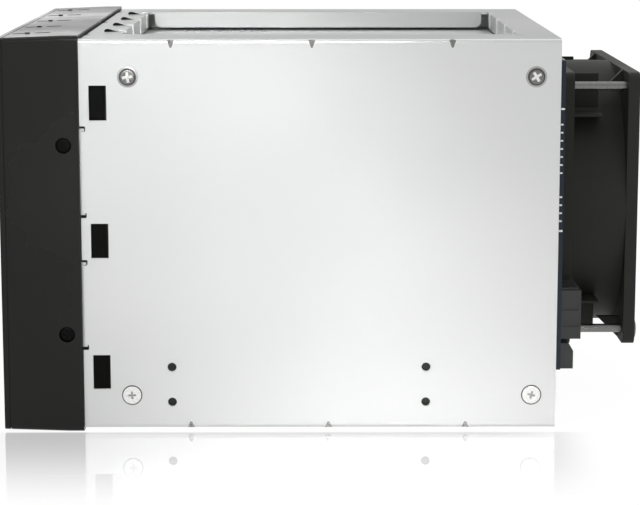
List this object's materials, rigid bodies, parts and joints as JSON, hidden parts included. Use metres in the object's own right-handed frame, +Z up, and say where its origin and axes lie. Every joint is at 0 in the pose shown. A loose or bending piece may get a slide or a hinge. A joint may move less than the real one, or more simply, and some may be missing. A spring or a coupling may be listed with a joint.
{
  "type": "hot swap drive cage",
  "caption": "Drive cage for computer bays: pull-out trays behind a black bezel, folded sheet cage, backplane board and square fan at the rear.",
  "frame": {"origin": "under the middle of the whole cage, on the plane of the bezel's lowest edge", "axes": "+X from the bezel to the fan, +Y across the bays to the far side, +Z up"},
  "size_m": [0.2092, 0.148, 0.1286],
  "materials": {
    "zinc_sheet": "satin",
    "black_moulding": "fine grain",
    "tray_moulding": "fine grain",
    "lever_moulding": "satin",
    "fan_plastic": "satin",
    "socket_plastic": "satin",
    "circuit_board": "solder mask",
    "gasket_rubber": "matt",
    "clear_moulding": "clear",
    "copper_winding": "enamelled",
    "bright_steel": "nickel plated",
    "black_screw": "black oxide"
  },
  "bodies": {
    "cage": {"outer_cover": "zinc_sheet", "base_plate": "zinc_sheet", "top_deck": "zinc_sheet", "partition_1": "zinc_sheet", "partition_2": "zinc_sheet", "partition_3": "zinc_sheet", "partition_4": "zinc_sheet", "front_bezel": "black_moulding", "rear_frame": "zinc_sheet", "backplane_board": "circuit_board", "drive_sockets": "socket_plastic", "power_sockets": "socket_plastic", "data_sockets": "socket_plastic", "fan_header": "socket_plastic", "fan_gasket": "gasket_rubber", "fan_frame": "fan_plastic", "fan_stator": "copper_winding", "cover_pan_screws": "bright_steel", "cover_flush_screws": "bright_steel", "bezel_screws": "black_screw", "board_screws": "bright_steel", "rear_frame_screws": "bright_steel", "fan_screws": "bright_steel"},
    "rotor": {"fan_rotor": "fan_plastic", "fan_shaft": "bright_steel"},
    "tray_1": {"tray_1_frame": "tray_moulding", "tray_1_front": "black_moulding", "tray_1_lever_pin": "bright_steel", "tray_1_button_spring": "bright_steel", "tray_1_light_pipe": "clear_moulding"},
    "lever_1": {"tray_1_lever": "lever_moulding"},
    "button_1": {"tray_1_button": "lever_moulding"},
    "tray_2": {"tray_2_frame": "tray_moulding", "tray_2_front": "black_moulding", "tray_2_lever_pin": "bright_steel", "tray_2_button_spring": "bright_steel", "tray_2_light_pipe": "clear_moulding"},
    "lever_2": {"tray_2_lever": "lever_moulding"},
    "button_2": {"tray_2_button": "lever_moulding"},
    "tray_3": {"tray_3_frame": "tray_moulding", "tray_3_front": "black_moulding", "tray_3_lever_pin": "bright_steel", "tray_3_button_spring": "bright_steel", "tray_3_light_pipe": "clear_moulding"},
    "lever_3": {"tray_3_lever": "lever_moulding"},
    "button_3": {"tray_3_button": "lever_moulding"},
    "tray_4": {"tray_4_frame": "tray_moulding", "tray_4_front": "black_moulding", "tray_4_lever_pin": "bright_steel", "tray_4_button_spring": "bright_steel", "tray_4_light_pipe": "clear_moulding"},
    "lever_4": {"tray_4_lever": "lever_moulding"},
    "button_4": {"tray_4_button": "lever_moulding"},
    "tray_5": {"tray_5_frame": "tray_moulding", "tray_5_front": "black_moulding", "tray_5_lever_pin": "bright_steel", "tray_5_button_spring": "bright_steel", "tray_5_light_pipe": "clear_moulding"},
    "lever_5": {"tray_5_lever": "lever_moulding"},
    "button_5": {"tray_5_button": "lever_moulding"}
  },
  "joints": [
    {"name": "fan_spin", "type": "hinge", "parent": "cage", "child": "rotor", "pos_m": [0.08875, 0, 0.0681], "axis": [1, 0, 0], "continuous": true},
    {"name": "tray_1_slide", "type": "slide", "parent": "cage", "child": "tray_1", "axis": [-1, 0, 0], "range_m": [0, 0.165]},
    {"name": "tray_1_lever_swing", "type": "hinge", "parent": "tray_1", "child": "lever_1", "pos_m": [-0.10045, -0.057, 0.012], "axis": [0, -1, 0], "range_deg": [0, 70]},
    {"name": "tray_1_button_press", "type": "slide", "parent": "tray_1", "child": "button_1", "axis": [1, 0, 0], "range_m": [0, 0.0025], "stiffness_N_per_m": 400, "springref_m": -0.0005, "deforming": ["tray_1_button_spring"]},
    {"name": "tray_2_slide", "type": "slide", "parent": "cage", "child": "tray_2", "axis": [-1, 0, 0], "range_m": [0, 0.165]},
    {"name": "tray_2_lever_swing", "type": "hinge", "parent": "tray_2", "child": "lever_2", "pos_m": [-0.10045, -0.0285, 0.012], "axis": [0, -1, 0], "range_deg": [0, 70]},
    {"name": "tray_2_button_press", "type": "slide", "parent": "tray_2", "child": "button_2", "axis": [1, 0, 0], "range_m": [0, 0.0025], "stiffness_N_per_m": 400, "springref_m": -0.0005, "deforming": ["tray_2_button_spring"]},
    {"name": "tray_3_slide", "type": "slide", "parent": "cage", "child": "tray_3", "axis": [-1, 0, 0], "range_m": [0, 0.165]},
    {"name": "tray_3_lever_swing", "type": "hinge", "parent": "tray_3", "child": "lever_3", "pos_m": [-0.10045, 0, 0.012], "axis": [0, -1, 0], "range_deg": [0, 70]},
    {"name": "tray_3_button_press", "type": "slide", "parent": "tray_3", "child": "button_3", "axis": [1, 0, 0], "range_m": [0, 0.0025], "stiffness_N_per_m": 400, "springref_m": -0.0005, "deforming": ["tray_3_button_spring"]},
    {"name": "tray_4_slide", "type": "slide", "parent": "cage", "child": "tray_4", "axis": [-1, 0, 0], "range_m": [0, 0.165]},
    {"name": "tray_4_lever_swing", "type": "hinge", "parent": "tray_4", "child": "lever_4", "pos_m": [-0.10045, 0.0285, 0.012], "axis": [0, -1, 0], "range_deg": [0, 70]},
    {"name": "tray_4_button_press", "type": "slide", "parent": "tray_4", "child": "button_4", "axis": [1, 0, 0], "range_m": [0, 0.0025], "stiffness_N_per_m": 400, "springref_m": -0.0005, "deforming": ["tray_4_button_spring"]},
    {"name": "tray_5_slide", "type": "slide", "parent": "cage", "child": "tray_5", "axis": [-1, 0, 0], "range_m": [0, 0.165]},
    {"name": "tray_5_lever_swing", "type": "hinge", "parent": "tray_5", "child": "lever_5", "pos_m": [-0.10045, 0.057, 0.012], "axis": [0, -1, 0], "range_deg": [0, 70]},
    {"name": "tray_5_button_press", "type": "slide", "parent": "tray_5", "child": "button_5", "axis": [1, 0, 0], "range_m": [0, 0.0025], "stiffness_N_per_m": 400, "springref_m": -0.0005, "deforming": ["tray_5_button_spring"]}
  ]
}
